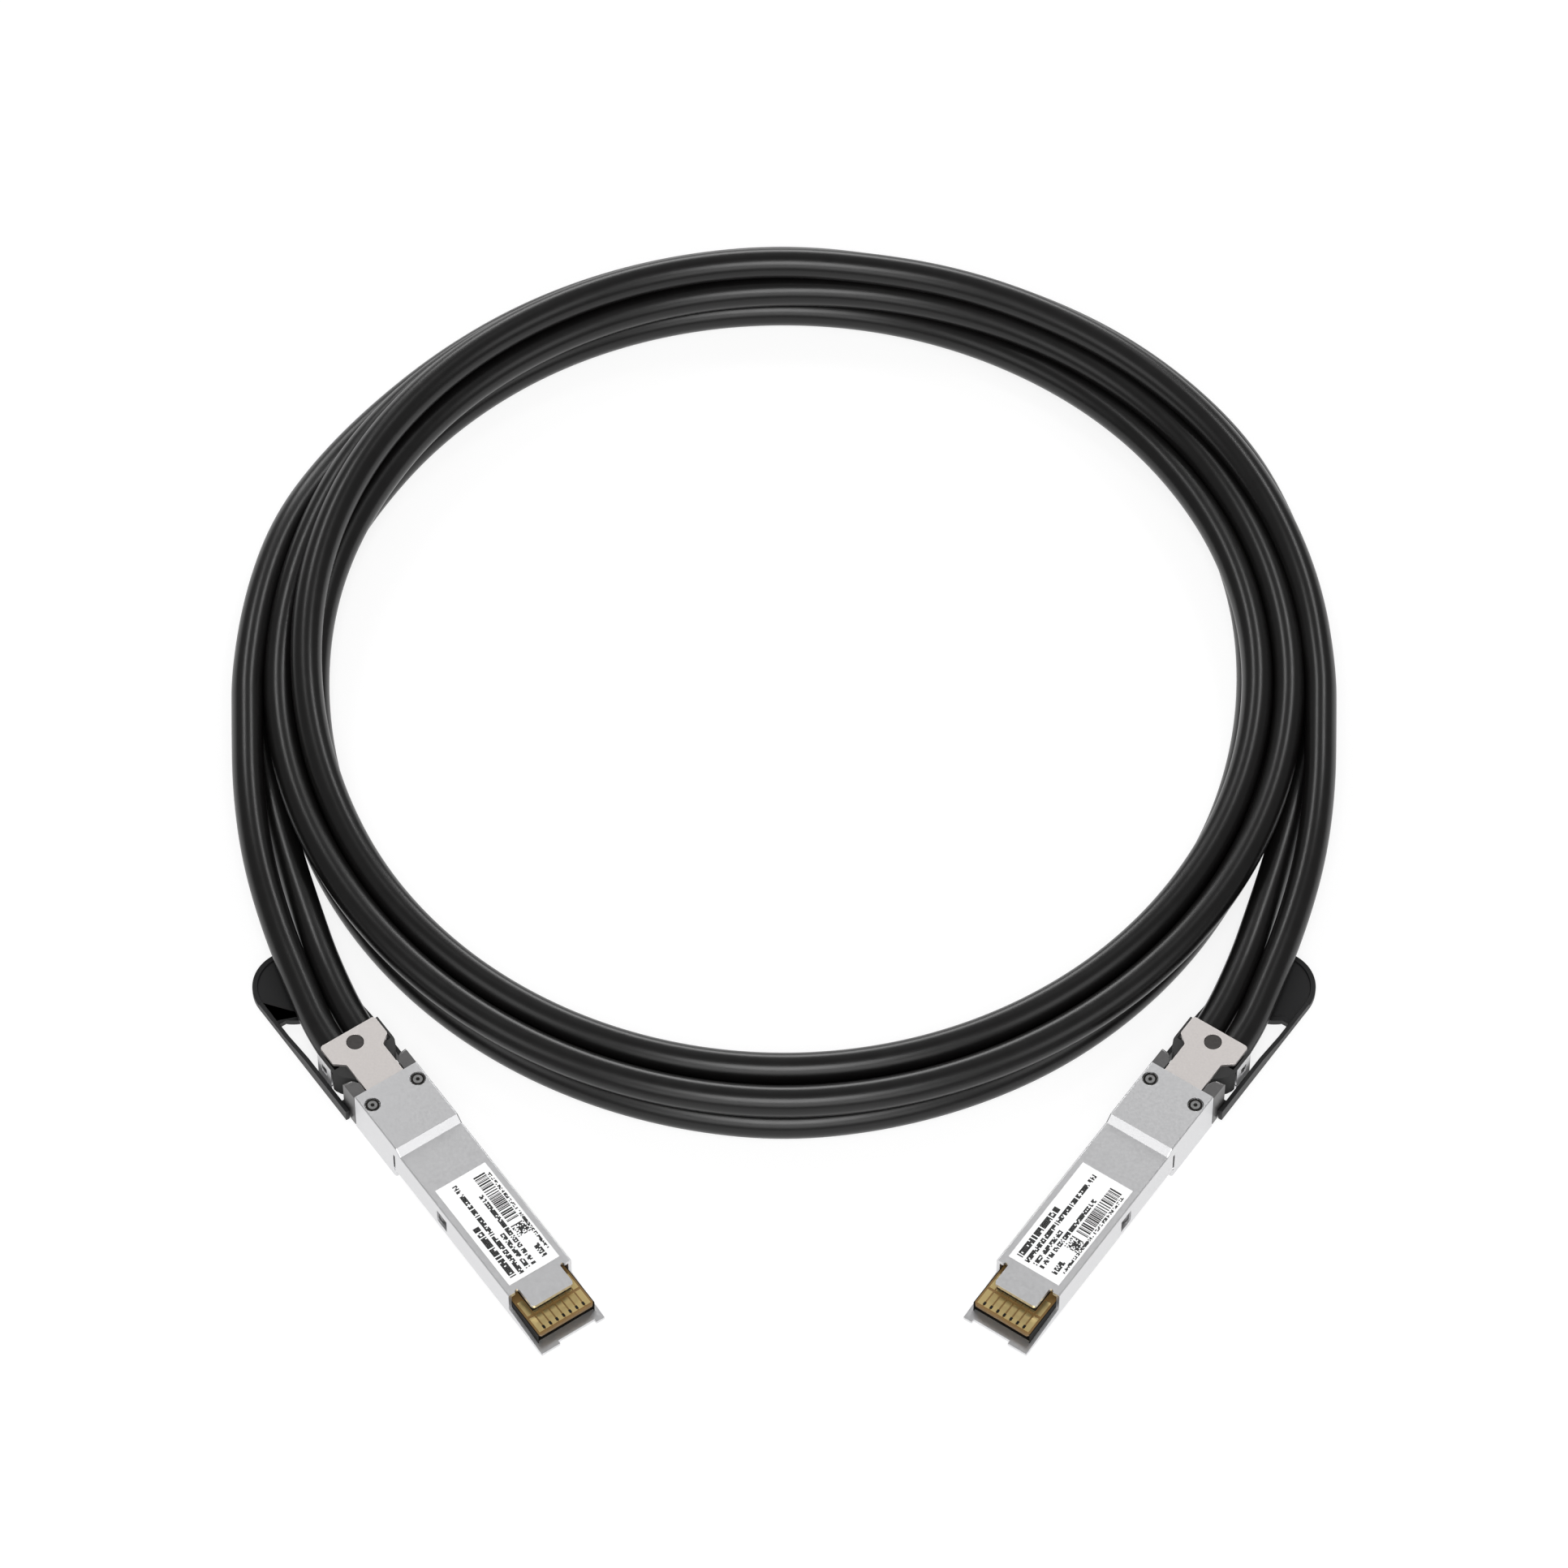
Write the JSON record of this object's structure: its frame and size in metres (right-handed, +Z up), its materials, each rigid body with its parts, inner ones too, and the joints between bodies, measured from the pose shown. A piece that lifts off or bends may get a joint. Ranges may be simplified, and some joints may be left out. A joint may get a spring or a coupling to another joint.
{
  "type": "direct attach copper cable",
  "caption": "Coiled pair of round black copper cables between two double-density pluggable network connectors with pull-tab release latches.",
  "frame": {"origin": "on the floor plane, at the middle of the two plugs' overall box", "axes": "+X from the left plug to the right plug, +Y from the plugs' noses towards the coil, +Z up out of the floor"},
  "size_m": [0.2806, 0.3369, 0.023],
  "materials": {
    "cast_shell": "satin nickel-plated zinc die casting",
    "clamp_plate": "satin plated steel sheet",
    "dark_rivet": "blackened steel",
    "screw_steel": "dark zinc-plated steel",
    "board_laminate": "glass-fibre board with tan solder resist",
    "contact_gold": "hard gold over nickel",
    "black_resin": "black moulding compound",
    "black_sleeve": "black shrink sleeve",
    "black_boot": "black moulded boot",
    "label_film": "white polyester label",
    "dark_slider": "dark grey plated spring steel",
    "black_tab": "black thermoplastic elastomer",
    "spring_wire": "bright spring wire",
    "cable_jacket": "black PVC jacket, satin"
  },
  "bodies": {
    "cable_assembly": {"cable_coil": "cable_jacket", "left_outer_cable": "cable_jacket", "left_inner_cable": "cable_jacket", "right_outer_cable": "cable_jacket", "right_inner_cable": "cable_jacket", "left_top_cover": "cast_shell", "left_bottom_housing": "cast_shell", "left_cable_clamp": "clamp_plate", "left_clamp_rivet": "dark_rivet", "left_cable_boot": "black_boot", "left_cover_screws": "screw_steel", "left_paddle_board": "board_laminate", "left_contact_pads": "contact_gold", "left_termination_mould": "black_resin", "left_wire_harness": "black_sleeve", "left_label": "label_film", "left_return_springs": "spring_wire", "right_top_cover": "cast_shell", "right_bottom_housing": "cast_shell", "right_cable_clamp": "clamp_plate", "right_clamp_rivet": "dark_rivet", "right_cable_boot": "black_boot", "right_cover_screws": "screw_steel", "right_paddle_board": "board_laminate", "right_contact_pads": "contact_gold", "right_termination_mould": "black_resin", "right_wire_harness": "black_sleeve", "right_label": "label_film", "right_return_springs": "spring_wire"},
    "left_release": {"left_release_slider": "dark_slider", "left_pull_tab": "black_tab"},
    "right_release": {"right_release_slider": "dark_slider", "right_pull_tab": "black_tab"}
  },
  "joints": [
    {"name": "left_release_slide", "type": "slide", "parent": "cable_assembly", "child": "left_release", "axis": [-0.5688, 0.8224, 0], "range_m": [0, 0.0018], "stiffness_N_per_m": 800, "springref_m": -0.004, "deforming": ["left_return_springs"]},
    {"name": "right_release_slide", "type": "slide", "parent": "cable_assembly", "child": "right_release", "axis": [0.5688, 0.8224, 0], "range_m": [0, 0.0018], "stiffness_N_per_m": 800, "springref_m": -0.004, "deforming": ["right_return_springs"]}
  ]
}
